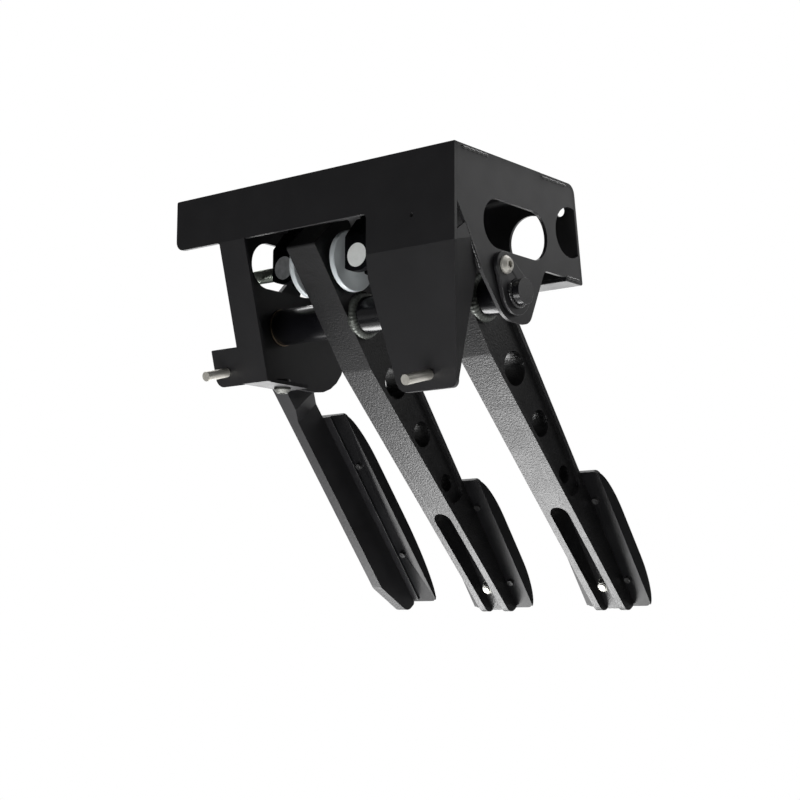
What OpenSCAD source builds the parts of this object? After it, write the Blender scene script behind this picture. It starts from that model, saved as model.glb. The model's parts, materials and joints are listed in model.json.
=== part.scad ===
// Hanging pedal box: brake and clutch arms in a folded box, throttle arm outside on the left.
// X runs across the box, Y from the bulkhead face to the driver, Z up.
// Y = 0 is the bulkhead face, Z = 0 the middle of the front bar, X = 0 the middle of the box.

/* [Box] */
// Outer width over the two side plates
box_w = 240; // [236:1:260]
// Reach of the front bar past the left side plate
bar_reach = 50; // [30:1:80]
// Height of the front bar
bar_h = 42; // [38:1:46]
// Depth of the box along its top edge
box_d = 158.4; // [150:0.2:175]
// Height of the side plates at the rear
box_h = 80.5; // [76:0.5:86]
// Thickness of the folded sheet
sheet = 3; // [2:0.5:3.5]
// Lean of the rear plate from upright, degrees
rear_lean = 8.5; // [4:0.5:12]
// Depth of the flange folded forward under the rear plate
rear_flange = 24; // [15:1:30]
// Outer radius of the bend at the top of the rear plate
rear_corner_r = 9; // [5:0.5:14]
// Length of the lip bent forward at the top of the rear plate
rear_lip = 48; // [30:1:60]

/* [Side openings] */
// Half height of the long oval in each side plate
oval_r = 19.25; // [17:0.25:20]
// Front end of the oval behind the bulkhead face
oval_front = 35.6; // [33:0.2:38]
// Length of the oval
oval_len = 84.4; // [70:0.2:90]
// Drop of the oval's middle below the top edge
oval_drop = 52.2; // [50:0.2:54]
// Radius of the notch at the rear edge of each side plate
notch_r = 20.5; // [15:0.5:22]
// Middle of the rear notch behind the bulkhead face
notch_y = 152.4; // [150:0.2:156]
// Drop of the rear notch below the top edge
notch_drop = 40.3; // [36:0.1:44]

/* [Legs] */
// Lean of the front legs, degrees
leg_lean = 15; // [10:1:18]
// Drop of the fold of the right panel below the top edge
panel_drop = 74; // [70:1:80]
// Width of the right panel
panel_w = 84; // [75:1:90]
// Length of the right leg along its slope
right_leg = 107; // [95:1:115]
// Width of the right leg at its foot
right_foot_w = 54.5; // [48:0.5:60]
// Inset of the right leg's outer edge at its foot
right_inset = 19; // [12:1:24]
// Width of the left leg
left_leg_w = 28; // [24:1:32]
// Length of the left leg along its slope
left_leg = 116.5; // [108:0.5:120]
// Depth of the flange at the foot of the left leg
foot_depth = 51; // [42:1:56]
// Width of the flange at the foot of the left leg
foot_w = 26; // [22:1:28]
// Hole for locating the box, radius
locator_r = 1.6; // [1.2:0.1:2.5]

/* [Fixings] */
// Radius of the mounting studs
stud_r = 4; // [3:0.5:4]
// Length of the right mounting stud in front of its leg
stud_right_len = 30; // [20:1:40]
// Length of the left mounting stud in front of its tab
stud_left_len = 25; // [18:1:40]
// Width of the tab that carries the left stud
tab_w = 32; // [28:1:40]
// Height of that tab
tab_h = 31.5; // [26:0.5:34]
// Radius of the keeper and foot screws
screw_r = 4; // [3:0.5:4]
// Thickness of the keeper plate
keeper_t = 4; // [3:0.5:6]
// Radius of the cylinder bores in the rear plate
cyl_r = 22; // [18:0.5:23]
// Spacing of the two studs of a cylinder
cyl_studs = 73; // [64:0.5:76]
// Turn of the line through those studs from upright, degrees
cyl_turn = 54; // [45:1:60]
// Radius of the cylinder stud holes
cyl_hole_r = 4.25; // [3:0.25:4.5]

/* [Pivot] */
// Pivot behind the bulkhead face
pivot_y = 73; // [71:0.5:76]
// Drop of the pivot below the top edge
pivot_drop = 102; // [100:0.5:104]
// Radius of the pivot shaft
shaft_r = 10; // [9:0.25:10]
// Radius of the pivot tubes
tube_r = 15; // [14.5:0.25:16]
// Radius of the flanges of the bushes
flange_r = 15.5; // [14:0.25:17]
// Thickness of the flanges of the bushes
flange_t = 1.5; // [1:0.25:3]
// Length of a bush inside its tube
bush_len = 24; // [10:1:30]
// Radius of the ear around the pivot
ear_r = 22; // [20:0.5:24]

/* [Arms] */
// Brake arm's middle left of the box's middle
brake_off = 42.5; // [41:0.5:44]
// Clutch arm's middle right of the box's middle
clutch_off = 77; // [70:0.5:80]
// Lean of the arms, degrees
arm_lean = 37.5; // [36.5:0.5:38]
// Width of an arm
arm_w = 30; // [28:0.5:32]
// Reach of an arm's front edge before the pivot
arm_front = 18; // [17:0.25:18.5]
// Reach of an arm's rear edge behind the pivot
arm_rear = 30.5; // [29.5:0.25:32]
// Height of an arm above its pivot
arm_top = 77; // [74:0.5:78]
// Length of an arm below its pivot
arm_low = 312; // [309:1:316]
// Start of the taper below the pivot
arm_knee = 40; // [35:1:45]
// Thickness of an arm at its foot
arm_tip = 12.4; // [11.6:0.2:16]
// Rounding of the front corner of an arm's foot
foot_round = 9; // [6:0.5:9]
// Thickness of the web between an arm's side pockets
web_t = 22; // [18:0.5:26]
// Rim left around the side pockets
pocket_rim = 4; // [3:0.25:5]
// Radius of the highest hole through an arm
hole_big_r = 14; // [10:0.5:15]
// Radius of the middle hole
hole_mid_r = 11; // [8:0.5:11.5]
// Radius of the lowest hole
hole_low_r = 7.5; // [5:0.5:8]
// Width of the slot in an arm's foot
slot_w = 17.6; // [15:0.2:19]
// Top of the slot below the top edge of the pad
slot_drop = 14.5; // [12:0.5:18]
// Thickness of the floor that carries the pad
floor_t = 5; // [4:0.5:6]

/* [Pads] */
// Half width of a brake or clutch pad over its folds
pad_half = 31.5; // [29:0.5:36]
// Length of a brake or clutch pad
pad_len = 133.8; // [125:0.2:136]
// Top edge of a pad below the pivot, along the arm
pad_top = 179.5; // [177:0.5:182]
// Sheet thickness of the pads
pad_t = 3; // [2:0.5:3.5]
// Height of the side lips of a pad
lip_h = 12.6; // [8:0.2:16]
// Length over which a lip rises from the top edge
lip_rise = 45; // [25:1:60]
// Length over which a lip falls to the lower edge
lip_fall = 40; // [25:1:60]
// Gap between an arm's side and its grip rivets
grip_gap = 1.85; // [1:0.05:2.5]
// Spacing of the two rows of fixings on a pad
row_gap = 79; // [70:0.5:82]
// Upper row of fixings below the top edge of a pad
row_top = 27; // [25:0.1:30]
// Radius of the grip rivets
grip_r = 2.75; // [2:0.05:2.9]
// Radius of the pad bolts
bolt_r = 3; // [2.5:0.25:3]

/* [Balance bar] */
// Bar above the pivot, along the brake arm
bar_up = 45.5; // [44:0.25:47]
// Bar behind the pivot, across the brake arm
bar_back = 6.9; // [6:0.1:7.2]
// Radius of the threaded bar
bar_r = 6; // [5:0.25:6]
// Reach of the bar left of the brake arm's middle
bar_left = 84.5; // [76:0.5:86]
// Reach of the bar right of the brake arm's middle
bar_right = 54.5; // [52:0.5:60]
// Clevis middle to brake arm middle
clevis_off = 39; // [39:0.25:42]
// Width of a clevis
clevis_w = 24; // [22.5:0.5:25]
// Radius of the barrels
barrel_r = 9.6; // [9:0.1:10]
// Length of the barrels
barrel_len = 30; // [28:0.5:32]
// Thickness of a clevis cheek
cheek_t = 6; // [5:0.25:6.5]
// Radius of the clevis shank
shank_r = 7; // [6:0.25:8]
// Height of the clevis shank over the barrel
shank_top = 46; // [42:0.5:48]
// Radius of the sleeve in the brake arm
sleeve_r = 20; // [19:0.25:20.5]
// Half length of the sleeve
sleeve_half = 19; // [18:0.25:19.5]
// Radius of the nylon discs
disc_r = 25; // [22:0.5:25]
// Thickness of the nylon discs
disc_t = 5; // [4:0.25:5]
// Radius of the spherical bearing
ball_r = 11.5; // [11:0.25:12]

/* [Throttle] */
// Lean of the throttle arm, degrees
throttle_lean = 39.5; // [38:0.5:41]
// Thickness of the throttle bar
throttle_t = 10; // [8:0.5:12]
// Reach of the throttle bar's front edge before the pivot
throttle_front = 13.3; // [12:0.1:15]
// Reach of the throttle bar's rear edge behind the pivot
throttle_rear = 16.4; // [15:0.1:18]
// Extra thickness of the throttle bar at its hub
throttle_step = 4.2; // [2:0.2:5]
// Drop of that step below the pivot
step_drop = 72.5; // [60:0.5:80]
// Length of the slope of that step
step_len = 12.5; // [6:0.5:18]
// Gap from the left side plate to the throttle bar's upper part
throttle_gap = 12.8; // [11:0.1:14]
// Length of the throttle arm below its pivot
throttle_low = 305; // [300:1:310]
// Height of the slope at the foot of the throttle bar
toe_h = 40.5; // [25:0.5:50]
// Length of the flat below that slope
toe_flat = 13.4; // [12:0.1:16]
// Half width of the throttle pad over its folds
throttle_pad_half = 29; // [26:0.5:32]
// Length of the throttle pad
throttle_pad_len = 205; // [190:1:207]
// Height of the side lips of the throttle pad
throttle_lip = 11.3; // [6:0.1:13]
// Length over which a throttle lip rises from the top edge
throttle_rise = 56; // [30:1:80]
// Length over which a throttle lip falls to the lower edge
throttle_fall = 85; // [50:1:100]
// Length of the cable lever above the pivot
lever_len = 52; // [44:1:60]
// Thickness of the cable lever
lever_t = 5; // [4:0.5:6]
// Radius of the cable hole
cable_r = 3; // [2:0.25:3.5]

/* [Fits] */
// Radial gap of turning fits
run_gap = 0.05; // [0.03:0.01:0.08]
// Radial gap of fixed fits
set_gap = 0.02; // [0.01:0.01:0.03]
// Side gap between parts that turn past each other
side_gap = 0.4; // [0.3:0.05:0.6]

/* [Hidden] */
$fn = 48;

black = "#1b1b1f";
steel = "#b9bdc1";
bronze = "#a97b3c";
nylon = "#e9e6dd";

z_top = bar_h / 2;
z_low = -bar_h / 2;
x_right = box_w / 2;
x_left = -box_w / 2;
inner_w = box_w - 2 * sheet;
pivot = [pivot_y, z_top - pivot_drop];
bend_z = z_top - panel_drop;
panel_x = x_right - panel_w;
rear_low = [box_d + box_h * tan(rear_lean), z_top - box_h];
rear_slope = box_h / cos(rear_lean);
foot_z = z_low - left_leg * cos(leg_lean);
foot_y = left_leg * sin(leg_lean);
right_low_z = bend_z - right_leg * cos(leg_lean);
bush_r = shaft_r + 2.5;
brake_x = -brake_off;
clutch_x = clutch_off;
balance = pivot + [bar_back * cos(arm_lean) - bar_up * sin(arm_lean),
    bar_back * sin(arm_lean) + bar_up * cos(arm_lean)];
oval_mid = [oval_front + oval_r, z_top - oval_drop];
keeper_screw_at = pivot + [-15, 18.5];
keeper_screw_ring = 10.5;
keeper_ring = 17.5;
shaft_right = x_right + keeper_t + 8;
head_r = 1.75 * screw_r;
head_h = 1.1 * screw_r;
hub_r = bush_r + 1.75;
hub_right = x_left - side_gap - flange_t;
throttle_x = x_left - throttle_gap - throttle_step - throttle_t / 2;
hub_left = throttle_x - throttle_t / 2 - 0.5;
washer_t = 1.5;
clip_t = 1.2;
clip_x = hub_left - flange_t - washer_t - 2 * side_gap - clip_t;
tube_split = brake_x + 52;
throttle_pad_top = 99.7;
grip_x = arm_w / 2 + grip_gap + grip_r;
throttle_grip_x = 17.4;
strip_half = 13;
strip_low_half = 11;
stud_root = stud_r + 1;
clinch_h = 4;
lip_inset = 1.5;
tap_depth = 10;
pad_screw_r = 2.5;
hole_drops = [67.3, 120.2, 170.8];
gusset_rear = [27.8, -24.8];
gusset_top = [16.7, 11.3];
strip_t = 2;
bush_grip = 10;
ear_rear = 43.4;
left_rear = 155;
race_half = 7;
rear_out = sheet / cos(rear_lean);
rear_in_top = [box_d + sheet * tan(rear_lean) - rear_out, z_top - sheet];
rear_in_low = [rear_low.x - sheet * tan(rear_lean) - rear_out, rear_low.y + sheet];
throttle_pad_t = 2.5;
stud_right_at = [x_right - 42, -right_leg + 11.6];
tab_top = -left_leg + tab_h - 1;
stud_left_at = [x_left - 18.3, tab_top - tab_h * 0.62];
weld_low = [33.6, bend_z - 16.7];
weld_high = [13.5, bend_z + 15.5];
foot_bolt_at = [x_left + 11, foot_y + 36];
wrench = 1.625;

function unit(v) = v / norm(v);
function polar(r, a) = r * [cos(a), sin(a)];
function bearing(v) = atan2(v.y, v.x);
function turn(a) = (a + 540) % 360 - 180;
function arc_points(c, r, a0, sweep, n) = [for (i = [0:n]) c + polar(r, a0 + sweep * i / n)];
function corner_arc(b, u, w, half, r, n) =
    let (c = b + unit(u + w) * r / sin(half), a0 = bearing(b + u * r / tan(half) - c))
    arc_points(c, r, a0, turn(bearing(b + w * r / tan(half) - c) - a0), n);
function corner(a, b, c, r, n) = r == 0
    ? [b]
    : corner_arc(b, unit(a - b), unit(c - b), acos(unit(a - b) * unit(c - b)) / 2, r, n);
function rounded(p, r, n = 6) =
    [for (i = [0:len(p) - 1]) each corner(p[(i + len(p) - 1) % len(p)], p[i], p[(i + 1) % len(p)], r[i], n)];
function touch_angle(p, c, r) = bearing(p - c) + acos(r / norm(p - c));
function hexagon(r) = [for (i = [0:5]) polar(r, 60 * i)];
function front_at(q) = -arm_front + (q > -arm_knee ? 0
    : (-arm_knee - q) / (arm_low - arm_knee) * (arm_rear - arm_tip + arm_front));
function middle_at(q) = (front_at(q) + arm_rear) / 2;

module along_x(x0, length) {
    translate([x0, 0, 0]) rotate([90, 0, 90]) linear_extrude(length) children();
}

module along_y(y0, length) {
    translate([0, y0 + length, 0]) rotate([90, 0, 0]) linear_extrude(length) children();
}

module at(p) {
    translate([0, p.x, p.y]) children();
}

module rod_x(x0, length, r) {
    translate([x0, 0, 0]) rotate([0, 90, 0]) cylinder(h = length, r = r);
}

module rod_y(y0, length, r) {
    translate([0, y0, 0]) rotate([-90, 0, 0]) cylinder(h = length, r = r);
}

module ring_x(x0, length, r, bore) {
    difference() {
        rod_x(x0, length, r);
        rod_x(x0 - 1, length + 2, bore);
    }
}

module on_leg(z0) {
    translate([0, 0, z0]) rotate([leg_lean, 0, 0]) children();
}

module on_rear() {
    translate([0, box_d, z_top]) rotate([rear_lean, 0, 0]) children();
}

module in_arm(x) {
    translate([x, pivot.x, pivot.y]) rotate([arm_lean, 0, 0]) children();
}

module in_throttle() {
    translate([throttle_x, pivot.x, pivot.y]) rotate([throttle_lean, 0, 0]) children();
}

module hex_nut(r, h, bore) {
    difference() {
        union() {
            cylinder(h = h * 0.2, r = r * 2.1);
            linear_extrude(h * 0.8) polygon(hexagon(r * 2 * wrench / sqrt(3)));
            cylinder(h = h, r = r * wrench * 0.92);
        }
        translate([0, 0, -1]) cylinder(h = h + 2, r = bore);
    }
}

module button_head(r, h) {
    difference() {
        union() {
            cylinder(h = h * 0.4, r = r);
            translate([0, 0, h * 0.4]) cylinder(h = h * 0.6, r1 = r, r2 = r * 0.62);
        }
        translate([0, 0, h * 0.45]) linear_extrude(h) polygon(hexagon(r * 0.42));
    }
}

module oval_2d() {
    translate(oval_mid) circle(oval_r);
    translate(oval_mid + [oval_len - 2 * oval_r, 0]) circle(oval_r);
    translate(oval_mid - [0, oval_r]) square([oval_len - 2 * oval_r, 2 * oval_r]);
}

module side_cuts_2d() {
    oval_2d();
    translate([notch_y, z_top - notch_drop]) circle(notch_r);
    translate(pivot) circle(shaft_r + set_gap);
}

// Folded strip seen from the side, leaning back below its fold
module fold_2d(z_fold, length) {
    polygon([[0, z_top], [0, z_fold], [length * sin(leg_lean), z_fold - length * cos(leg_lean)],
        [length * sin(leg_lean) + sheet * cos(leg_lean),
            z_fold - length * cos(leg_lean) + sheet * sin(leg_lean)],
        [sheet, z_fold + sheet * tan(leg_lean / 2)], [sheet, z_top]]);
}

module right_panel() intersection() {
    along_x(panel_x - 10, panel_w + 10) fold_2d(bend_z, right_leg + 5);
    along_y(-5, 100) polygon(rounded([[panel_x - 6, z_top], [x_right, z_top], [x_right, bend_z],
        [x_right - right_inset, right_low_z], [x_right - right_inset - right_foot_w, right_low_z],
        [panel_x - 1.5, bend_z - 17.4], [panel_x, bend_z], [panel_x, z_low], [panel_x - 6, z_low]],
        [0, 0, 0, 6, 9, 10, 0, 4, 0]));
}

module left_strip() intersection() {
    along_x(x_left - bar_reach, bar_reach + left_leg_w) union() {
        fold_2d(z_low, left_leg);
        translate([foot_y, foot_z]) square([foot_depth, sheet]);
    }
    along_y(-5, 200) polygon(rounded([[x_left - bar_reach, z_top], [x_left + left_leg_w, z_top],
        [x_left + left_leg_w, foot_z - 5], [x_left, foot_z - 5], [x_left, z_low],
        [x_left - bar_reach, z_low]], [1.5, 0, 0, 0, 2, 8]));
}

// Folded front sheet: bar, right panel, two leaning legs and the foot flange
module front_plate() color(black) difference() {
    union() {
        right_panel();
        left_strip();
        translate([x_left + left_leg_w, 0, z_low]) cube([panel_x - 6 - x_left - left_leg_w, sheet, bar_h]);
    }
    on_leg(bend_z) translate([stud_right_at.x, 0, stud_right_at.y]) rod_y(-1, sheet + 2, stud_root + set_gap);
    translate([x_right - 40, 0, bend_z + 24]) rod_y(-1, sheet + 2, locator_r);
    translate([foot_bolt_at.x, foot_bolt_at.y, foot_z - 1]) cylinder(h = sheet + 2, r = screw_r + set_gap);
    translate([x_left + foot_w, foot_y + 5, foot_z - 1]) cube([left_leg_w, foot_depth, sheet + 2]);
}

module top_plate() color(black) translate([x_left + sheet, sheet, z_top - sheet])
    cube([inner_w, box_d - rear_lip - sheet, sheet]);

// Rear edge of a side plate, inside the bent rear plate
function side_rear() = [[box_d - rear_lip, z_top], [box_d - rear_lip, z_top - sheet], rear_in_top, rear_in_low];

module right_side_plate() color(black) along_x(x_right - sheet, sheet) difference() {
    ear = arc_points(pivot, ear_r, -90, touch_angle(weld_low, pivot, ear_r) - 270, 8);
    outline = concat([[sheet, z_top]], side_rear(), [[pivot.x + ear_rear, rear_in_low.y],
        pivot + [ear_r, -ear_r]], ear, [weld_low, weld_high, [sheet, bend_z + 30]]);
    polygon(rounded(outline, concat([0, 0, 0, rear_corner_r - sheet, 0, 6, 12], [for (p = ear) 0], [0, 0, 0])));
    side_cuts_2d();
    translate(keeper_screw_at) circle(screw_r + set_gap);
}

module left_side_plate() color(black) along_x(x_left, sheet) difference() {
    low = foot_z + sheet;
    polygon(rounded(concat([[sheet, z_top]], side_rear(), [[left_rear, rear_in_low.y],
        [left_rear, low], [foot_y + sheet / cos(leg_lean) - sheet * tan(leg_lean), low],
        [sheet / cos(leg_lean), z_low], [sheet, z_low]]), [0, 0, 0, rear_corner_r - sheet, 0, 6, 38, 0, 0, 0]));
    side_cuts_2d();
}

// Rear plate bent forward at its top and foot, over the ends of the side plates
module rear_2d() polygon(rounded([[box_d - rear_lip, z_top], [box_d, z_top], rear_low,
    [rear_low.x - rear_flange, rear_low.y], [rear_low.x - rear_flange, rear_low.y + sheet], rear_in_low, rear_in_top,
    [box_d - rear_lip, z_top - sheet]], [0, rear_corner_r, 2, 0, 0, 0, rear_corner_r - sheet, 0]));

module rear_plate() color(black) difference() {
    along_x(x_left, box_w) rear_2d();
    for (x = [brake_x - clevis_off, brake_x + clevis_off, clutch_x]) on_rear() translate([x, 0, -rear_slope / 2]) {
        rod_y(-2 * sheet, 3 * sheet, cyl_r);
        for (s = [-1, 1]) rotate([0, cyl_turn, 0]) translate([0, 0, s * cyl_studs / 2])
            rod_y(-2 * sheet, 3 * sheet, cyl_hole_r);
    }
    translate([x_left - 1, left_rear - rear_flange, rear_low.y - 1]) cube([sheet + 1, rear_flange + 2, sheet + 2]);
}

module right_gusset() color(black) intersection() {
    on_leg(bend_z) translate([x_right, 0, 0]) rotate([0, atan2(right_inset, right_leg), 0])
        along_x(-sheet, sheet) polygon([[sheet + 2, 6.9], [sheet, 0.4], [sheet, -right_leg + 3],
            gusset_rear, gusset_top]);
    translate([0, sheet, right_low_z]) cube([x_right, box_d, z_top - right_low_z]);
}

module stud_tab() color(black) on_leg(z_low) difference() {
    union() {
        along_y(sheet, sheet) polygon(rounded([[x_left - tab_w, tab_top], [x_left, tab_top],
            [x_left, tab_top - tab_h], [x_left - tab_w, tab_top - tab_h]], [1, 0, 0, 8]));
        translate([x_left - tab_w + 1, sheet, tab_top - sheet]) cube([tab_w - 1, 10, sheet]);
    }
    translate([stud_left_at.x, 0, stud_left_at.y]) rod_y(0, 3 * sheet, stud_root + set_gap);
}

// Stud pressed in from the back, with a collar in the sheet and a flat head
module stud(length) {
    rod_y(-length, length + sheet + 1, stud_r);
    rod_y(0, sheet, stud_root);
    rod_y(sheet, 2.5, stud_root + 1);
}

module mounting_studs() color(steel) {
    on_leg(bend_z) translate([stud_right_at.x, 0, stud_right_at.y]) stud(stud_right_len);
    on_leg(z_low) translate([stud_left_at.x, sheet, stud_left_at.y]) stud(stud_left_len);
}

module pivot_shaft() color(black) at(pivot) difference() {
    rod_x(clip_x - 3, shaft_right - clip_x + 3, shaft_r);
    ring_x(clip_x - 0.1, clip_t + 0.2, shaft_r + 1, shaft_r - 1.2);
}

module keeper_plate() color(black) along_x(x_right, keeper_t) difference() {
    d = keeper_screw_at - pivot;
    a = bearing(d);
    b = acos((keeper_ring - keeper_screw_ring) / norm(d));
    union() {
        translate(pivot) circle(keeper_ring);
        translate(keeper_screw_at) circle(keeper_screw_ring);
        polygon([pivot + polar(keeper_ring, a - b), keeper_screw_at + polar(keeper_screw_ring, a - b),
            keeper_screw_at + polar(keeper_screw_ring, a + b), pivot + polar(keeper_ring, a + b)]);
    }
    translate(pivot) circle(shaft_r + set_gap);
    translate(keeper_screw_at) circle(screw_r + set_gap);
}

module keeper_screw() color(steel) at(keeper_screw_at) {
    translate([x_right + keeper_t, 0, 0]) rotate([0, 90, 0]) button_head(head_r, head_h);
    rod_x(x_right - 3 * sheet, keeper_t + 3 * sheet + 0.3 * head_h, screw_r);
}

module keeper_nut() color(steel) at(keeper_screw_at)
    ring_x(x_right - 3 * sheet, 2 * sheet, 6.5, screw_r + set_gap);

module foot_bolt() color(steel) translate([foot_bolt_at.x, foot_bolt_at.y, foot_z]) {
    rotate([180, 0, 0]) button_head(head_r, head_h);
    translate([0, 0, -0.3 * head_h]) cylinder(h = sheet + clinch_h + 0.3 * head_h, r = screw_r);
}

module foot_nut() color(black) translate([foot_bolt_at.x, foot_bolt_at.y, foot_z + sheet]) difference() {
    cylinder(h = clinch_h, r = 1.6 * screw_r);
    translate([0, 0, -1]) cylinder(h = clinch_h + 2, r = screw_r + set_gap);
}

module shaft_washer() color(steel) at(pivot)
    ring_x(hub_left - flange_t - side_gap - washer_t, washer_t, shaft_r + 6, shaft_r + set_gap);

module shaft_clip() color(steel) at(pivot)
    ring_x(clip_x, clip_t, shaft_r + 2.5, shaft_r - 1.2 + set_gap);

module arm_2d() {
    polygon(rounded([[-arm_front, arm_top - 1], [12, arm_top + 2], [arm_rear, arm_top - 5], [arm_rear, -arm_low],
        [front_at(-arm_low), -arm_low], [-arm_front, -arm_knee]], [2, 4, 3, 2, foot_round, 20]));
}

module pocket_2d() {
    q0 = -tube_r - 9;
    q1 = -pad_top - 10;
    polygon(rounded([[front_at(q0) + pocket_rim, q0], [arm_rear - pocket_rim, q0], [arm_rear - pocket_rim, q1],
        [front_at(q1) + pocket_rim, q1], [front_at(-arm_knee) + pocket_rim, -arm_knee]], [8, 8, 8, 8, 20]));
}

module arm_hole(drop, r) translate([0, middle_at(-drop), -drop]) rod_x(-arm_w, 2 * arm_w, r);

// Machined arm: bar that thins towards its foot, with side pockets, three holes, pivot bore and slotted foot
module arm_blank() {
    difference() {
        along_x(-arm_w / 2, arm_w) arm_2d();
        for (s = [-1, 1]) along_x(s * (web_t / 2 + 15) - 15, 30) pocket_2d();
        rod_x(-arm_w, 2 * arm_w, tube_r + set_gap);
        arm_hole(hole_drops[0], hole_big_r);
        arm_hole(hole_drops[1], hole_mid_r);
        arm_hole(hole_drops[2], hole_low_r);
        translate([0, 0, -pad_top - slot_drop - slot_w / 2]) {
            rod_y(-arm_front - 1, arm_rear + arm_front + 1 - floor_t, slot_w / 2);
            translate([-slot_w / 2, -arm_front - 1, -arm_low])
                cube([slot_w, arm_rear + arm_front + 1 - floor_t, arm_low]);
        }
        pad_rows() rod_y(-arm_front, arm_rear + arm_front + 1, bolt_r + set_gap);
    }
}

module pad_rows() {
    for (i = [0, 1]) translate([0, 0, -pad_top - row_top - i * row_gap]) children();
}

module brake_arm() color(black) in_arm(brake_x) difference() {
    arm_blank();
    translate([0, bar_back, bar_up]) rod_x(-arm_w, 2 * arm_w, sleeve_r + set_gap);
}

module clutch_arm() color(black) in_arm(clutch_x) difference() {
    arm_blank();
    translate([-fork_half(), -arm_front - 1, tube_r + 5]) cube([2 * fork_half(), 80, 80]);
    translate([0, bar_back, bar_up]) rod_x(-arm_w, 2 * arm_w, screw_r + set_gap);
}

function fork_half() = 7;

module pad_plate_2d(half, top, length) {
    polygon(rounded([[-half, -top], [half, -top], [half, -top - length], [-half, -top - length]], [4, 4, 5, 5]));
}

function swell(u) = pow(1 - pow(1 - min(u, 1), 2), 0.6);

// Side lip that rises from the top edge and falls to the lower edge
module lip_2d(y0, top, length, h, rise, fall) {
    reach = length - 2 * lip_inset;
    polygon([for (i = [0:28]) let (d = reach * (1 - cos(180 * i / 28)) / 2)
        [y0 + h * swell(d / rise) * swell((reach - d) / fall), -top - lip_inset - d]]);
}

module pad(half, top, length, y0, t, h, rise, fall) {
    along_y(y0, t) pad_plate_2d(half, top, length);
    for (s = [-1, 1]) along_x(s * (half - t / 2) - t / 2, t) lip_2d(y0, top, length, h, rise, fall);
}

module arm_pad() difference() {
    pad(pad_half, pad_top, pad_len, arm_rear, pad_t, lip_h, lip_rise, lip_fall);
    pad_rows() {
        rod_y(arm_rear - 1, pad_t + 2, bolt_r + set_gap);
        for (s = [-1, 1]) translate([s * grip_x, 0, 0]) rod_y(arm_rear - 1, pad_t + 2, grip_r + set_gap);
    }
}

module pad_bolts() pad_rows() {
    rod_y(arm_rear - floor_t - 7.5, floor_t + 7.5 + pad_t + 0.3 * bolt_r, bolt_r);
    translate([0, arm_rear + pad_t, 0]) rotate([-90, 0, 0]) button_head(1.75 * bolt_r, 1.1 * bolt_r);
}

module pad_nuts() pad_rows()
    translate([0, arm_rear - floor_t, 0]) rotate([90, 0, 0]) hex_nut(bolt_r, 6.5, bolt_r + set_gap);

module grip_rivet(y0, t) {
    rod_y(y0 - 2.6, t + 3.3, grip_r);
    rod_y(y0 + t, 1.4, 1.7 * grip_r);
}

module arm_rivets() pad_rows()
    for (s = [-1, 1]) translate([s * grip_x, 0, 0]) grip_rivet(arm_rear, pad_t);

module brake_pad() color(black) in_arm(brake_x) arm_pad();

module brake_pad_bolts() color(steel) in_arm(brake_x) pad_bolts();

module brake_pad_nuts() color(steel) in_arm(brake_x) pad_nuts();

module brake_grip_rivets() color(steel) in_arm(brake_x) arm_rivets();

module clutch_pad() color(black) in_arm(clutch_x) arm_pad();

module clutch_pad_bolts() color(steel) in_arm(clutch_x) pad_bolts();

module clutch_pad_nuts() color(steel) in_arm(clutch_x) pad_nuts();

module clutch_grip_rivets() color(steel) in_arm(clutch_x) arm_rivets();

// Flanged bush with its flange on the end that points along side
module flanged_bush(x0, side) {
    difference() {
        union() {
            rod_x(side > 0 ? x0 - bush_len : x0 - flange_t / 2, bush_len + flange_t / 2, bush_r);
            rod_x(side > 0 ? x0 : x0 - flange_t, flange_t, flange_r);
        }
        rod_x(x0 - bush_len - 5, 2 * bush_len + 10, shaft_r + run_gap);
    }
}

module tube_between(x0, x1) at(pivot) ring_x(x0, x1 - x0, tube_r, bush_r + set_gap);

module bush_pair(x0, x1) at(pivot) {
    flanged_bush(x0, -1);
    flanged_bush(x1, 1);
}

function tube_end() = x_right - sheet - side_gap - flange_t;

module brake_tube() color(black) tube_between(-tube_end(), tube_split - flange_t - side_gap / 2);

module brake_bushes() color(bronze) bush_pair(-tube_end(), tube_split - flange_t - side_gap / 2);

module clutch_tube() color(black) tube_between(tube_split + flange_t + side_gap / 2, tube_end());

module clutch_bushes() color(bronze) bush_pair(tube_split + flange_t + side_gap / 2, tube_end());

function race_r() = ball_r + 3.5;

module balance_sleeve() color(black) at(balance)
    ring_x(brake_x - sleeve_half, 2 * sleeve_half, sleeve_r, race_r() + set_gap);

module bearing_race() color(steel) at(balance) translate([brake_x, 0, 0]) rotate([0, 90, 0]) rotate_extrude()
    difference() {
        translate([bar_r, -race_half]) square([race_r() - bar_r, 2 * race_half]);
        circle(ball_r + run_gap);
    }

module bearing_ball() color(steel) at(balance) translate([brake_x, 0, 0]) rotate([0, 90, 0]) rotate_extrude()
    intersection() {
        translate([bar_r + set_gap, -race_half - 1]) square([ball_r, 2 * race_half + 2]);
        circle(ball_r);
    }

module nylon_discs() color(nylon) at(balance) for (s = [-1, 1])
    ring_x(brake_x + s * (sleeve_half + disc_t / 2) - disc_t / 2, disc_t, disc_r, bar_r + 3);

module balance_bar() color(steel) at(balance) rod_x(brake_x - bar_left, bar_left + bar_right, bar_r);

module barrel() difference() {
    rod_y(-barrel_len / 2, barrel_len, barrel_r);
    rod_x(-2 * barrel_r, 4 * barrel_r, bar_r + run_gap);
}

module clevis_front_2d() {
    belly = 22.3;
    half = asin(clevis_w / 2 / belly);
    polygon(concat(arc_points([0, belly - 13], belly, -90 - half, 2 * half, 8),
        [[clevis_w / 2, 15.5], [shank_r, 31], [-shank_r, 31], [-clevis_w / 2, 15.5]]));
}

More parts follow.
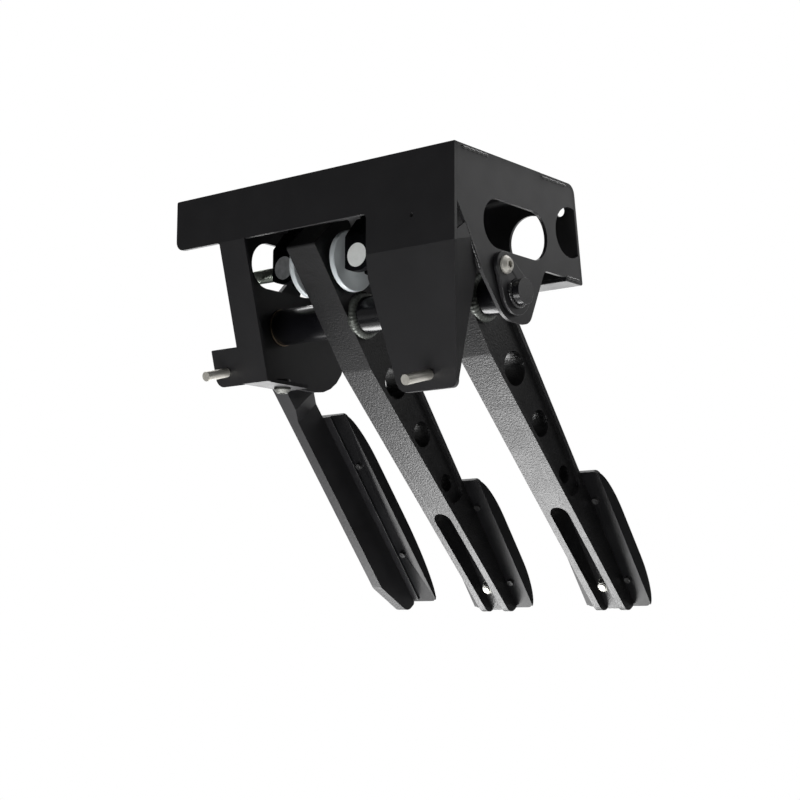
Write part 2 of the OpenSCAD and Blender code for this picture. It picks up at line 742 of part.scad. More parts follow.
module clevis_side_2d() difference() {
    polygon([[-barrel_len / 2, -14], [barrel_len / 2, -14], [barrel_len / 2, 17], [shank_r, 31],
        [-shank_r, 31], [-barrel_len / 2, 17]]);
    translate([-fork_inner(), -20]) square([2 * fork_inner(), 34]);
    translate([0, 14]) circle(fork_inner());
}

function fork_inner() = barrel_len / 2 - cheek_t;

// Forked clevis that holds a barrel between its cheeks, with a tapped shank
module clevis() difference() {
    union() {
        intersection() {
            along_y(-barrel_len / 2, barrel_len) clevis_front_2d();
            along_x(-clevis_w / 2, clevis_w) clevis_side_2d();
        }
        translate([0, 0, 30]) cylinder(h = shank_top - 30, r = shank_r);
    }
    rod_y(-barrel_len, 2 * barrel_len, barrel_r + run_gap);
    translate([0, 0, shank_top - 20]) cylinder(h = 21, r = 3.4);
}

module left_barrel() color(steel) at(balance) translate([brake_x - clevis_off, 0, 0]) barrel();

module right_barrel() color(steel) at(balance) translate([brake_x + clevis_off, 0, 0]) barrel();

module left_clevis() color(black) at(balance) translate([brake_x - clevis_off, 0, 0]) clevis();

module right_clevis() color(black) at(balance) translate([brake_x + clevis_off, 0, 0]) clevis();

module clutch_pin() color(steel) at(balance) {
    rod_x(clutch_x - arm_w / 2 - 9, arm_w + 9 + 0.3 * head_h, screw_r);
    translate([clutch_x + arm_w / 2, 0, 0]) rotate([0, 90, 0]) button_head(head_r, head_h);
}

module clutch_pin_nut() color(steel) at(balance) translate([clutch_x - arm_w / 2, 0, 0]) rotate([0, -90, 0])
    hex_nut(screw_r, 8, screw_r + set_gap);

module clutch_rod_end() color(steel) at(balance) translate([clutch_x, 0, 0]) difference() {
    union() {
        rod_x(1 - fork_half(), 2 * fork_half() - 2, 12);
        cylinder(h = shank_top, r = fork_half() - 1);
    }
    rod_x(-20, 40, screw_r + run_gap);
    translate([0, 0, shank_top - 20]) cylinder(h = 21, r = 3.4);
}

module throttle_side_2d() {
    eye_r = hub_r + 5;
    a = acos(throttle_front / eye_r);
    b = acos(throttle_rear / eye_r);
    eye = arc_points([0, 0], eye_r, 180 + a, -180 - a - b, 24);
    outline = concat(eye, [[throttle_rear, -throttle_low], [throttle_rear - toe_flat, -throttle_low],
        [-throttle_front, -throttle_low + toe_h]]);
    polygon(rounded(outline, concat([for (p = eye) 0], [3, 10, 8])));
}

module throttle_face_2d() {
    u = throttle_t / 2;
    polygon([[-u, -throttle_low - 1], [u, -throttle_low - 1], [u, -step_drop - step_len],
        [u + throttle_step, -step_drop], [u + throttle_step, hub_r + 6], [-u, hub_r + 6]]);
}

module throttle_rows() {
    for (q = [135, 265]) translate([0, throttle_rear, -q]) children();
}

module throttle_grips() {
    for (q = [53.3, 150.8]) for (s = [-1, 1])
        translate([s * throttle_grip_x, throttle_rear + strip_t, -throttle_pad_top - q]) children();
}

// Flat throttle bar, thicker at its hub and cut back at its toe
module throttle_arm() color(black) in_throttle() difference() {
    intersection() {
        along_x(-throttle_t, 2 * throttle_t + throttle_step) throttle_side_2d();
        along_y(-2 * hub_r, 4 * hub_r) throttle_face_2d();
    }
    rod_x(-2 * throttle_t, 4 * throttle_t, hub_r + set_gap);
    throttle_rows() rod_y(-tap_depth, tap_depth + 1, pad_screw_r + set_gap);
}

module throttle_hub() color(black) at(pivot) ring_x(hub_left, hub_right - hub_left, hub_r, bush_r + set_gap);

module throttle_bushes() color(bronze) at(pivot) difference() {
    union() {
        rod_x(hub_left - flange_t / 2, bush_grip + flange_t / 2, bush_r);
        rod_x(hub_left - flange_t, flange_t, hub_r);
        rod_x(hub_right - bush_grip, bush_grip + flange_t / 2, bush_r);
        rod_x(hub_right, flange_t, hub_r);
    }
    rod_x(hub_left - 2 * flange_t, hub_right - hub_left + 4 * flange_t, shaft_r + run_gap);
}

module throttle_lever() color(black) along_x(hub_right - 2 - lever_t, lever_t) difference() {
    tip = pivot + polar(lever_len, 59);
    union() {
        translate(pivot) circle(hub_r + 5);
        translate(tip) circle(7);
        polygon([pivot + polar(hub_r + 4, 152), pivot + polar(hub_r + 4, -34), tip + polar(7, -31),
            tip + polar(7, 149)]);
    }
    translate(pivot) circle(hub_r + set_gap);
    translate(tip) circle(cable_r);
}

module throttle_strip() color(black) in_throttle() difference() {
    low = -throttle_pad_top - throttle_pad_len + 3;
    along_y(throttle_rear, strip_t) polygon([[-strip_half, -throttle_pad_top], [-strip_low_half, low],
        [strip_low_half, low], [strip_half, -throttle_pad_top]]);
    throttle_rows() rod_y(-1, strip_t + 2, pad_screw_r + set_gap);
}

module throttle_pad() color(black) in_throttle() difference() {
    pad(throttle_pad_half, throttle_pad_top, throttle_pad_len, throttle_rear + strip_t, throttle_pad_t,
        throttle_lip, throttle_rise, throttle_fall);
    throttle_rows() rod_y(strip_t - 1, throttle_pad_t + 2, pad_screw_r + set_gap);
    throttle_grips() rod_y(-1, throttle_pad_t + 2, grip_r + set_gap);
}

module throttle_pad_screws() color(steel) in_throttle() throttle_rows() {
    rod_y(1 - tap_depth, tap_depth - 1 + strip_t + throttle_pad_t + 0.3 * pad_screw_r, pad_screw_r);
    translate([0, strip_t + throttle_pad_t, 0]) rotate([-90, 0, 0])
        button_head(1.9 * pad_screw_r, 1.1 * pad_screw_r);
}

module throttle_grip_rivets() color(steel) in_throttle() throttle_grips() grip_rivet(0, throttle_pad_t);

front_plate();
top_plate();
right_side_plate();
left_side_plate();
rear_plate();
right_gusset();
stud_tab();
mounting_studs();
pivot_shaft();
keeper_plate();
keeper_screw();
keeper_nut();
foot_bolt();
foot_nut();
shaft_washer();
shaft_clip();
brake_arm();
brake_tube();
brake_bushes();
balance_sleeve();
bearing_race();
nylon_discs();
brake_pad();
brake_pad_bolts();
brake_pad_nuts();
brake_grip_rivets();
balance_bar();
bearing_ball();
left_barrel();
right_barrel();
left_clevis();
right_clevis();
clutch_arm();
clutch_tube();
clutch_bushes();
clutch_pad();
clutch_pad_bolts();
clutch_pad_nuts();
clutch_grip_rivets();
clutch_pin();
clutch_pin_nut();
clutch_rod_end();
throttle_arm();
throttle_hub();
throttle_bushes();
throttle_lever();
throttle_strip();
throttle_pad();
throttle_pad_screws();
throttle_grip_rivets();
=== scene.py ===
import json
import math

import bpy
from mathutils import Matrix, Vector


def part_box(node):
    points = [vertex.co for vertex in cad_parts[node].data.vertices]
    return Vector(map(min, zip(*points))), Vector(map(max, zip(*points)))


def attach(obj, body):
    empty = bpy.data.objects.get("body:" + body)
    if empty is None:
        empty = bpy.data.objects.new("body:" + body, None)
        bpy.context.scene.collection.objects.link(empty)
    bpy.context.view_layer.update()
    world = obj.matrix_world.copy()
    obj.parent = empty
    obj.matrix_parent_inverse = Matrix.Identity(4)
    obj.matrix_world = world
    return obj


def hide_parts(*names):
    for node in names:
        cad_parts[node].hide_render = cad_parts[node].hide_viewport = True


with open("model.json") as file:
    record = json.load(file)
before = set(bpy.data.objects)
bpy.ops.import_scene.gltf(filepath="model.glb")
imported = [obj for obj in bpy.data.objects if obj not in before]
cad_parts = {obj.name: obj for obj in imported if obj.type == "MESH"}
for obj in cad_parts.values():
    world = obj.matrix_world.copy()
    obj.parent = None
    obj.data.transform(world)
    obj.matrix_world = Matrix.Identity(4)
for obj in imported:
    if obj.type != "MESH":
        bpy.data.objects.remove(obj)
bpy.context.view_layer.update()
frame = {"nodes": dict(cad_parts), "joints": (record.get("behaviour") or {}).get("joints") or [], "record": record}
scene = bpy.context.scene
MM = 0.001


# Places that the frame gives

def box_mm(node):
    """Lowest and highest corner of a CAD node in millimetres."""
    low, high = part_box(node)
    return low / MM, high / MM


mounts = {mount["name"]: mount for mount in frame["record"]["mounts"]}
joints = {joint["name"]: joint for joint in frame["joints"]}
_, PIVOT_Y, PIVOT_Z = (value / MM for value in joints["brake_pivot"]["pos_m"])


# Shader nodes

WHITE = (1, 1, 1, 1)
EVEN = (1.0, 1.0, 1.0)         # how much a noise is stretched: not at all, or along one axis
ALONG_X = (0.3, 1.0, 1.0)
ALONG_Y = (1.0, 0.3, 1.0)
COLOUR_ENDS = (0.35, 0.65)     # values of a noise between which a colour or a roughness changes
ROUGH_ENDS = (0.3, 0.7)
MIX_A, MIX_B, MIX_RESULT = 6, 7, 2     # colour sockets of the Mix node


def fill(tree, made, inputs):
    """Link a node's inputs to sockets or set them to constants, by Blender's name or number."""
    for key, value in inputs.items():
        if isinstance(value, bpy.types.NodeSocket):
            tree.links.new(value, made.inputs[key])
        else:
            made.inputs[key].default_value = value


def shader_node(tree, kind, inputs):
    made = tree.nodes.new("ShaderNode" + kind)
    fill(tree, made, inputs)
    return made


def calculate(tree, operation, a, b):
    made = shader_node(tree, "Math", {0: a, 1: b})
    made.operation = operation
    return made.outputs["Value"]


def largest(tree, *values):
    """Largest of several values, so that more than one kind of ray picks the white."""
    total = values[0]
    for value in values[1:]:
        total = calculate(tree, "MAXIMUM", total, value)
    return total


def along(tree, vector, direction):
    """Length of a vector along a direction."""
    made = shader_node(tree, "VectorMath", {0: vector, 1: direction})
    made.operation = "DOT_PRODUCT"
    return made.outputs["Value"]


def coordinates(tree, kind):
    return shader_node(tree, "TexCoord", {}).outputs[kind]


def noise(tree, scale, detail=3.0, stretch=EVEN):
    place = shader_node(tree, "Mapping", {"Vector": coordinates(tree, "Object"), "Scale": stretch})
    made = shader_node(tree, "TexNoise", {"Vector": place.outputs["Vector"], "Scale": scale,
                                          "Detail": detail})
    return made.outputs["Fac"]


def ramp(tree, fac, low, high):
    """Colour between two others."""
    made = shader_node(tree, "ValToRGB", {"Fac": fac})
    for element, position, colour in zip(made.color_ramp.elements, COLOUR_ENDS, (low, high)):
        element.position = position
        element.color = (*colour, 1)
    return made.outputs["Color"]


def spread(tree, fac, low, high, ends=ROUGH_ENDS):
    """Number between two others."""
    made = shader_node(tree, "MapRange", {"Value": fac, "From Min": ends[0], "From Max": ends[1],
                                          "To Min": low, "To Max": high})
    return made.outputs["Result"]


def bump(tree, height, strength, distance):
    made = shader_node(tree, "Bump", {"Height": height, "Strength": strength, "Distance": distance})
    return made.outputs["Normal"]


# Materials

COAT_COLOUR_SCALE = 35.0
COAT_ROUGH_SCALE = 60.0
COAT_GRAIN_DETAIL = 2.0
STREAK_SCALE = 220.0
STREAK_DETAIL = 4.0
STREAK_RELIEF = 0.2 * MM
ROOT_BLACK = (0.009, 0.009, 0.010, 1)
ROOT_REACH = 0.4 * MM          # how far the black on a stud's root stands out of the sheet


def new_material(name):
    mat = bpy.data.materials.new(name)
    mat.use_nodes = True
    tree = mat.node_tree
    return mat, tree, tree.nodes["Principled BSDF"]


def coat(name, low, high, rough, grain, depth, sheen=0.5, relief=0.4):
    """Powder coat: nearly even colour, soft sheen and a fine grain with a relief in millimetres."""
    mat, tree, shader = new_material(name)
    fill(tree, shader, {
        "Base Color": ramp(tree, noise(tree, COAT_COLOUR_SCALE), low, high),
        "Roughness": spread(tree, noise(tree, COAT_ROUGH_SCALE), *rough),
        "Normal": bump(tree, noise(tree, grain, COAT_GRAIN_DETAIL), depth, relief * MM),
        "Specular IOR Level": sheen,
    })
    return mat


def metal(name, low, high, rough, stretch, depth, metallic=1.0):
    """Turned or drawn metal with streaks along the stretched axis."""
    mat, tree, shader = new_material(name)
    streak = noise(tree, STREAK_SCALE, STREAK_DETAIL, stretch)
    fill(tree, shader, {
        "Base Color": ramp(tree, streak, low, high),
        "Roughness": spread(tree, streak, *rough),
        "Normal": bump(tree, streak, depth, STREAK_RELIEF),
        "Metallic": metallic,
    })
    return mat


def stud_face(mount, inward):
    """Depth of the face that a stud stands on: its mount is half way along its free length."""
    return Vector(mount["pos_m"]).dot(inward) + mount["dims"]["length_mm"] * MM / 2


def coated_root(plating):
    """Copy of a plating that turns into black coat behind the faces that the two studs stand on."""
    mat = plating.copy()
    mat.name = "coated " + plating.name
    tree = mat.node_tree
    shader = tree.nodes["Principled BSDF"]
    bare = shader.inputs["Base Color"].links[0].from_socket
    metallic = shader.inputs["Metallic"].default_value
    inward = -Vector(mounts["stud_right"]["axis"])
    left_face = stud_face(mounts["stud_left"], inward)
    right_face = stud_face(mounts["stud_right"], inward)
    place = coordinates(tree, "Object")
    on_right = calculate(tree, "GREATER_THAN", along(tree, place, (1, 0, 0)), 0.0)
    face = calculate(tree, "ADD", left_face, calculate(tree, "MULTIPLY", on_right, right_face - left_face))
    coated = calculate(tree, "GREATER_THAN", along(tree, place, inward),
                       calculate(tree, "SUBTRACT", face, ROOT_REACH))
    mix = tree.nodes.new("ShaderNodeMix")
    mix.data_type = "RGBA"
    fill(tree, mix, {"Factor": coated, MIX_A: bare, MIX_B: ROOT_BLACK})
    fill(tree, shader, {
        "Base Color": mix.outputs[MIX_RESULT],
        "Metallic": calculate(tree, "MULTIPLY", calculate(tree, "SUBTRACT", 1.0, coated), metallic),
    })
    return mat


def nylon_material():
    """Pale nylon that lets a little light in."""
    mat, tree, shader = new_material("nylon")
    fill(tree, shader, {
        "Base Color": ramp(tree, noise(tree, scale=50.0), (0.50, 0.535, 0.55), (0.57, 0.605, 0.62)),
        "Roughness": spread(tree, noise(tree, scale=90.0), 0.3, 0.42),
        "Subsurface Weight": 0.35,
        "Subsurface Radius": (0.006, 0.006, 0.006),
    })
    return mat


sheet_black = coat("black sheet", (0.0075, 0.0072, 0.0085), (0.0100, 0.0097, 0.0110),
                   rough=(0.37, 0.45), grain=1500.0, depth=0.05)
arm_black = coat("black arm", (0.0055, 0.0055, 0.0060), (0.0085, 0.0084, 0.0090),
                 rough=(0.33, 0.40), grain=700.0, depth=0.7, sheen=0.42, relief=0.42)
pad_black = coat("black pad", (0.0045, 0.0045, 0.0050), (0.0065, 0.0065, 0.0072),
                 rough=(0.30, 0.38), grain=1600.0, depth=0.05, sheen=0.18)
tube_black = coat("black tube", (0.0040, 0.0040, 0.0050), (0.0060, 0.0060, 0.0075),
                  rough=(0.20, 0.27), grain=1500.0, depth=0.04)
coated_bead = coat("coated weld bead", (0.010, 0.010, 0.011), (0.015, 0.015, 0.016),
                   rough=(0.16, 0.24), grain=900.0, depth=0.12)
raw_bead = metal("raw weld bead", (0.055, 0.060, 0.054), (0.105, 0.112, 0.102),
                 rough=(0.38, 0.50), stretch=EVEN, depth=0.12, metallic=0.6)
steel = metal("bright steel", (0.30, 0.30, 0.29), (0.42, 0.42, 0.40),
              rough=(0.30, 0.40), stretch=ALONG_X, depth=0.04)
zinc = metal("zinc", (0.48, 0.465, 0.42), (0.56, 0.545, 0.50),
             rough=(0.32, 0.40), stretch=ALONG_Y, depth=0.03, metallic=0.5)
# Right barrel's end: steel painted near white and hardly metallic, a painted highlight for the light that its
# machined end catches
barrel_painted_highlight = metal("steel with painted highlight", (0.82, 0.84, 0.82), (0.88, 0.90, 0.88),
               rough=(0.45, 0.55), stretch=ALONG_Y, depth=0.03, metallic=0.15)
rivet_grey = metal("dull rivet", (0.07, 0.07, 0.07), (0.12, 0.12, 0.12),
                   rough=(0.38, 0.48), stretch=ALONG_Y, depth=0.04)
dark_steel = metal("dark steel", (0.010, 0.010, 0.012), (0.016, 0.016, 0.019),
                   rough=(0.3, 0.4), stretch=ALONG_Y, depth=0.04)
# Left barrel's end: the same steel as the right barrel, painted darker grey as painted shade
barrel_painted_shade = metal("steel with painted shade", (0.15, 0.155, 0.16), (0.22, 0.225, 0.23),
                  rough=(0.42, 0.52), stretch=ALONG_Y, depth=0.06, metallic=0.3)
bronze = metal("bronze", (0.20, 0.155, 0.11), (0.28, 0.215, 0.155),
               rough=(0.42, 0.52), stretch=ALONG_X, depth=0.04)
nut_steel = metal("nut steel", (0.13, 0.13, 0.12), (0.20, 0.20, 0.19),
                  rough=(0.46, 0.56), stretch=ALONG_X, depth=0.04)
bar_plating = metal("bar plating", (0.28, 0.31, 0.27), (0.46, 0.50, 0.44),
                    rough=(0.28, 0.38), stretch=ALONG_X, depth=0.04)
stud_zinc = coated_root(zinc)
nylon = nylon_material()


# CAD pieces: a material by slot, or by node where the photo shows another, and small rounded edges

SLOTS = {"black_sheet": sheet_black, "black_arm": arm_black, "bright_steel": steel, "zinc": zinc,
         "dark_steel": dark_steel, "bronze": bronze, "nylon": nylon}
SPECIAL = {"brake_pad": pad_black, "clutch_pad": pad_black, "throttle_pad": pad_black,
           "brake_tube": tube_black, "clutch_tube": tube_black, "pivot_shaft": tube_black,
           "brake_grip_rivets": rivet_grey, "clutch_grip_rivets": rivet_grey,
           "throttle_grip_rivets": rivet_grey, "brake_pad_nuts": nut_steel, "clutch_pad_nuts": nut_steel,
           # The two barrels are one kind of part: the right one carries a painted highlight, the left one a
           # painted shade
           "foot_bolt": nut_steel, "left_barrel": barrel_painted_shade, "right_barrel": barrel_painted_highlight,
           "mounting_studs": stud_zinc}

FINE_EDGE = 0.35               # width of a rounded edge in millimetres, and the nodes with another
ROUNDED = {"brake_arm": 0.9, "clutch_arm": 0.9, "throttle_arm": 0.6, "left_clevis": 0.7, "right_clevis": 0.7,
           "nylon_discs": 0.8, "brake_tube": 0.3, "clutch_tube": 0.3, "keeper_plate": 0.6,
           "pivot_shaft": 0.9, "front_plate": 0.5}
EDGE_SEGMENTS = 2
EDGE_ANGLE = 32                # degrees between two faces from which an edge is rounded
MERGE_REACH = 0.02 * MM

# Large flat sheets, whose long thin facets need normals weighted by area
PLATES = ("front_plate", "rear_plate", "top_plate", "left_side_plate", "right_side_plate")
FULL_WEIGHT = 100

for entry in frame["record"]["subparts"]:
    node = entry["node"]
    obj = frame["nodes"][node]
    obj.data.materials.clear()
    obj.data.materials.append(SPECIAL.get(node, SLOTS[entry["material_slot"]]))
    weld = obj.modifiers.new("weld", "WELD")
    weld.merge_threshold = MERGE_REACH
    edge = obj.modifiers.new("edge", "BEVEL")
    edge.width = ROUNDED.get(node, FINE_EDGE) * MM
    edge.segments = EDGE_SEGMENTS
    edge.limit_method = "ANGLE"
    edge.angle_limit = math.radians(EDGE_ANGLE)
    if node in PLATES:
        even = obj.modifiers.new("even", "WEIGHTED_NORMAL")
        even.weight = FULL_WEIGHT
        even.keep_sharp = True
    else:
        edge.harden_normals = True


# Skins over rows of points, for the weld beads and the threaded bar

def around(sides):
    """Angles of as many points round a ring."""
    return [2 * math.pi * k / sides for k in range(sides)]


def skin(name, rows, material, smooth_ends):
    """Closed mesh over rows of points in millimetres, each row a ring of equally many points."""
    sides = len(rows[0])
    verts = [tuple(Vector(point) * MM) for row in rows for point in row]
    faces = []
    for i in range(len(rows) - 1):
        for k in range(sides):
            a = i * sides + k
            b = i * sides + (k + 1) % sides
            faces.append((a, b, b + sides, a + sides))
    smooth = [True] * len(faces) + [smooth_ends] * 2
    faces.append(tuple(reversed(range(sides))))
    faces.append(tuple(range(len(verts) - sides, len(verts))))
    mesh = bpy.data.meshes.new(name)
    mesh.from_pydata(verts, [], faces)
    mesh.polygons.foreach_set("use_smooth", smooth)
    mesh.materials.append(material)
    obj = bpy.data.objects.new(name, mesh)
    scene.collection.objects.link(obj)
    return obj


# Weld beads: rippled runs of metal along the joins of the sheets and tubes, in millimetres

BEAD_SIDES = 10
DRIFT = 0.06                   # slow change of a bead's thickness, and its turn for each millimetre
DRIFT_RATE = 0.37
END_SHARE = 0.35               # thickness of a bead's end, and the rows over which it grows to full
END_ROWS = 4
RUN_STEP = 0.5
WANDER_RATE = 0.55             # turn of the wander for each step of a run
RING_STEP = 2.4                # degrees
FULL_TURN = (0, 360)
KEEPER_TURN = (150, 385)       # the part of the shaft's end that is welded

# Distances of a bead's middle line from the faces that it joins
ARM_RIGHT_OFF = 1.0
ARM_LEFT_OFF = 0.6
TUBE_RIGHT_OFF = 0.2
KEEPER_OFF = 0.9
SEAM_SINK = 0.2
TOP_FRONT_RISE = 0.3
GUSSET_START_SINK = 1.4
GUSSET_END_SINK = 1.1
FOOT_OFF = 0.4
FOOT_RISE = 0.23


def bead(name, path, body, material, radius, ripple, height=0.16):
    """Rippled run along a path, whose ripples swell by a share of the radius, with thinner ends."""
    points = [Vector(point) for point in path]
    last = len(points) - 1
    side = (points[1] - points[0]).orthogonal()
    travelled = 0.0
    rows = []
    for i, point in enumerate(points):
        before = points[max(i - 1, 0)]
        after = points[min(i + 1, last)]
        ahead = (after - before).normalized()
        side = (side - ahead * side.dot(ahead)).normalized()
        up = ahead.cross(side)
        travelled += (point - before).length
        swell = 1.0 - height + height * abs(math.sin(math.pi * travelled / ripple))
        swell += DRIFT * math.sin(travelled * DRIFT_RATE)
        end = min(1.0, END_SHARE + (1.0 - END_SHARE) * min(i, last - i) / END_ROWS)
        reach = radius * swell * end
        rows.append([point + (side * math.cos(turn) + up * math.sin(turn)) * reach
                     for turn in around(BEAD_SIDES)])
    obj = skin(name, rows, material, smooth_ends=True)
    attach(obj, body)


def run(start, end, wander):
    """Straight path between two points that wanders a little up and down."""
    start, end = Vector(start), Vector(end)
    count = round((end - start).length / RUN_STEP)
    return [start.lerp(end, i / count) + Vector((0, 0, wander * math.sin(i * WANDER_RATE)))
            for i in range(count + 1)]


def ring(x, radius, start, end):
    """Arc round the pivot at one place along the shaft, in degrees from the rear upwards."""
    count = round((end - start) / RING_STEP)
    turns = [math.radians(start + (end - start) * i / count) for i in range(count + 1)]
    return [(x, PIVOT_Y + radius * math.cos(turn), PIVOT_Z + radius * math.sin(turn)) for turn in turns]


def radius_mm(node):
    """Radius of a round node that lies along X."""
    low, high = box_mm(node)
    return (high.z - low.z) / 2


for pedal in ("brake", "clutch"):
    body = pedal + "_pedal"
    arm_low, arm_high = box_mm(pedal + "_arm")
    tube_radius = radius_mm(pedal + "_tube")
    right_path = ring(arm_high.x + ARM_RIGHT_OFF, tube_radius + TUBE_RIGHT_OFF, *FULL_TURN)
    left_path = ring(arm_low.x - ARM_LEFT_OFF, tube_radius, *FULL_TURN)
    bead(pedal + "_tube_bead_right", right_path, body, raw_bead,
         radius=4.4, ripple=2.6, height=0.09)
    bead(pedal + "_tube_bead_left", left_path, body, coated_bead, radius=2.4, ripple=1.6)

keeper_face = box_mm("keeper_plate")[1].x
keeper_path = ring(keeper_face + KEEPER_OFF, radius_mm("pivot_shaft") + KEEPER_OFF, *KEEPER_TURN)
bead("keeper_bead", keeper_path, "box", coated_bead, radius=1.7, ripple=2.4)

inner_face, right_face = (corner.x for corner in box_mm("right_side_plate"))
sheet = right_face - inner_face
seam_x = right_face - SEAM_SINK
gusset_start = (right_face - GUSSET_START_SINK, 14.6, -38.2)
gusset_end = (right_face - GUSSET_END_SINK, 33.0, -68.6)
top_front_z = box_mm("top_plate")[0].z + TOP_FRONT_RISE
top_rear_z = box_mm("top_plate")[0].z - SEAM_SINK
rear_low_z = box_mm("rear_plate")[0].z + sheet + SEAM_SINK
foot_x = box_mm("left_side_plate")[1].x + FOOT_OFF
foot_z = box_mm("left_side_plate")[0].z + FOOT_RISE

# Straight beads of the box: name, first and last point, wander, radius, ripple
BOX_RUNS = (
    ("gusset_bead", gusset_start, gusset_end, 0.25, 1.5, 2.2),
    ("top_front_bead", (seam_x, 8.0, top_front_z), (seam_x, 42.0, top_front_z), 0.3, 1.3, 2.8),
    ("top_rear_bead", (seam_x, 112.0, top_rear_z), (seam_x, 147.0, top_rear_z), 0.25, 1.2, 2.6),
    ("rear_low_bead", (seam_x, 146.0, rear_low_z), (seam_x, 165.5, rear_low_z), 0.25, 1.4, 2.6),
    ("foot_bead", (foot_x, 36.5, foot_z), (foot_x, 74.0, foot_z), 0.15, 1.3, 2.2),
)
for name, start, end, wander, radius, ripple in BOX_RUNS:
    bead(name, run(start, end, wander), "box", coated_bead, radius, ripple)


# Screw thread of the balance bar, which stands for the plain rod of the CAD, in millimetres

THREAD_PITCH = 1.75
THREAD_DEPTH = 0.75
ROWS_PER_PITCH = 6
ROD_SIDES = 32
ROD_CHAMFER = 0.8
# Open stretches of the bar: beyond each clevis, and between each clevis and its nylon disc
THREADED = ((-126.5, -94.5), (-69.0, -66.8), (-18.2, -16.0), (9.0, 11.5))


def threaded_rod(name, low, high, zones, material):
    """Rod along X that fills a box, with a thread in the given zones and a chamfer at both ends."""
    middle = (low + high) / 2
    crest = (high.z - low.z) / 2
    places = {low.x, low.x + ROD_CHAMFER, high.x - ROD_CHAMFER, high.x}
    for start, end in zones:
        count = round((end - start) / THREAD_PITCH * ROWS_PER_PITCH)
        places.update(start + (end - start) * i / count for i in range(count + 1))
    rows = []
    for x in sorted(places):
        depth = THREAD_DEPTH if any(start < x < end for start, end in zones) else 0.0
        limit = crest - ROD_CHAMFER + min(x - low.x, high.x - x)
        row = []
        for k, turn in enumerate(around(ROD_SIDES)):
            phase = (x / THREAD_PITCH - k / ROD_SIDES) % 1.0
            radius = min(limit, crest - depth * (1.0 - abs(2.0 * phase - 1.0)))
            row.append((x, middle.y + radius * math.cos(turn), middle.z + radius * math.sin(turn)))
        rows.append(row)
    return skin(name, rows, material, smooth_ends=False)


thread = threaded_rod("balance_bar_thread", *box_mm("balance_bar"), THREADED, bar_plating)
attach(thread, "bar")
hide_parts("balance_bar")


# Camera at the photo's view, in metres

CAMERA_PLACE = (0.8463, -0.9630, -0.3435)
CAMERA_FORWARD = (-0.6236, 0.7679, 0.1466)
CAMERA_ROLL = -0.24            # degrees
CAMERA_SHIFT = (0.0073, -0.0109)
SENSOR_WIDTH = 36.0
LENS = 76.75
FAR_LIMIT = 50.0


def camera_at(position, forward, roll):
    """Place and turn of a camera that looks forward, with a roll in degrees from upright."""
    forward = Vector(forward).normalized()
    right = forward.cross(Vector((0, 0, 1))).normalized()
    up = right.cross(forward)
    turn = Matrix.Rotation(math.radians(roll), 3, forward)
    matrix = Matrix((turn @ right, turn @ up, -forward)).transposed().to_4x4()
    matrix.translation = Vector(position)
    return matrix


cam_data = bpy.data.cameras.new("camera")
cam_data.sensor_width = SENSOR_WIDTH
cam_data.lens = LENS
cam_data.shift_x, cam_data.shift_y = CAMERA_SHIFT
cam_data.clip_end = FAR_LIMIT
cam = bpy.data.objects.new("camera", cam_data)
scene.collection.objects.link(cam)
cam.matrix_world = camera_at(CAMERA_PLACE, CAMERA_FORWARD, CAMERA_ROLL)
scene.camera = cam


# Pale floor and dim surroundings, both pure white where the camera sees them

FLOOR_LOW = (-8.0, -0.6)
FLOOR_HIGH = (4.0, 11.0)
FLOOR_Z = -1.1
AMBIENT = 0.05
BACKDROP_WAY = (-0.62, 0.77, 0.15)     # reflections are white only towards the side that the camera faces
BACKDROP_ENDS = (0.55, 0.85)


def plane(name, low, high, z):
    mesh = bpy.data.meshes.new(name)
    corners = [(low[0], low[1], z), (high[0], low[1], z), (high[0], high[1], z), (low[0], high[1], z)]
    mesh.from_pydata(corners, [], [(0, 1, 2, 3)])
    obj = bpy.data.objects.new(name, mesh)
    scene.collection.objects.link(obj)
    return obj


def show_white(tree, where, usual, white, output):
    """Output the white shader where the value is 1, and the usual one where it is 0."""
    mix = shader_node(tree, "MixShader", {"Fac": where, 1: usual, 2: white})
    tree.links.new(mix.outputs["Shader"], tree.nodes[output].inputs["Surface"])


floor = plane("floor", FLOOR_LOW, FLOOR_HIGH, FLOOR_Z)
floor_mat, floor_tree, floor_shader = new_material("floor")
fill(floor_tree, floor_shader, {
    "Base Color": ramp(floor_tree, noise(floor_tree, scale=2.0), (0.93, 0.93, 0.93), (0.95, 0.95, 0.95)),
    "Roughness": spread(floor_tree, noise(floor_tree, scale=6.0), 0.7, 0.8),
})
floor_rays = shader_node(floor_tree, "LightPath", {}).outputs
floor_white = shader_node(floor_tree, "Emission", {"Color": WHITE, "Strength": 1.0})
floor_seen = largest(floor_tree, floor_rays["Is Camera Ray"], floor_rays["Is Glossy Ray"],
                     floor_rays["Is Transmission Ray"])
show_white(floor_tree, floor_seen, floor_shader.outputs["BSDF"], floor_white.outputs["Emission"],
           "Material Output")
floor.data.materials.append(floor_mat)

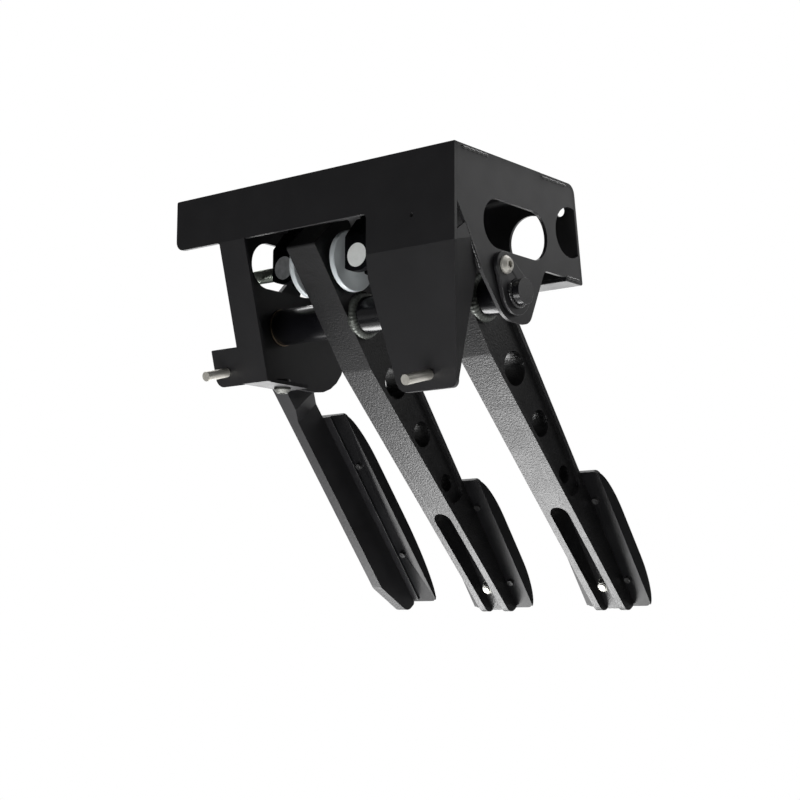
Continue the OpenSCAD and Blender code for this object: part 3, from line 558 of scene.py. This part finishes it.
world = bpy.data.worlds.new("studio")
scene.world = world
world.use_nodes = True
world_tree = world.node_tree
world_dim = world_tree.nodes["Background"]
fill(world_tree, world_dim, {"Color": WHITE, "Strength": AMBIENT})
world_white = shader_node(world_tree, "Background", {"Color": WHITE, "Strength": 1.0})
world_rays = shader_node(world_tree, "LightPath", {}).outputs
backdrop = spread(world_tree, along(world_tree, coordinates(world_tree, "Generated"), BACKDROP_WAY),
                  0.0, 1.0, BACKDROP_ENDS)
world_seen = largest(world_tree, world_rays["Is Camera Ray"], world_rays["Is Transmission Ray"],
                     calculate(world_tree, "MULTIPLY", world_rays["Is Glossy Ray"], backdrop))
show_white(world_tree, world_seen, world_dim.outputs["Background"], world_white.outputs["Background"],
           "World Output")


# Soft lights, in metres

def soft_box(name, place, target, size, radiance):
    """Rectangular light given by its brightness, so that its size can change alone."""
    data = bpy.data.lights.new(name, "AREA")
    data.shape = "RECTANGLE"
    data.size, data.size_y = size
    data.energy = radiance * math.pi * size[0] * size[1]
    obj = bpy.data.objects.new(name, data)
    scene.collection.objects.link(obj)
    obj.location = place
    aim = Vector(target) - Vector(place)
    obj.rotation_euler = aim.to_track_quat("-Z", "Y").to_euler()
    obj.visible_camera = False


soft_box("lower soft box", (-0.285, 0.2, -0.75), (-0.285, 0.2, 0.0), size=(0.37, 0.4), radiance=13.0)
soft_box("upper card", (0.375, 0.32, 0.028), (0.375, 0.32, -1.0), size=(0.49, 0.6), radiance=0.85)
soft_box("rear card", (-0.8, 1.25, -0.3), (0.05, 0.15, -0.06), size=(1.5, 1.1), radiance=1.6)
soft_box("front card", (-0.95, -1.15, 0.1), (0.0, 0.0, -0.02), size=(1.3, 1.0), radiance=0.16)
soft_box("low front card", (-0.95, -1.15, -0.62), (0.0, 0.0, -0.1), size=(1.3, 0.5), radiance=0.42)
soft_box("near fill", (0.2, -0.85, -0.8), (0.0, 0.1, -0.1), size=(0.6, 0.5), radiance=9.0)
soft_box("driver side card", (-0.45, 1.15, 1.2), (0.0, 0.15, -0.15), size=(2.4, 1.6), radiance=2.5)

scene.view_settings.view_transform = "Standard"
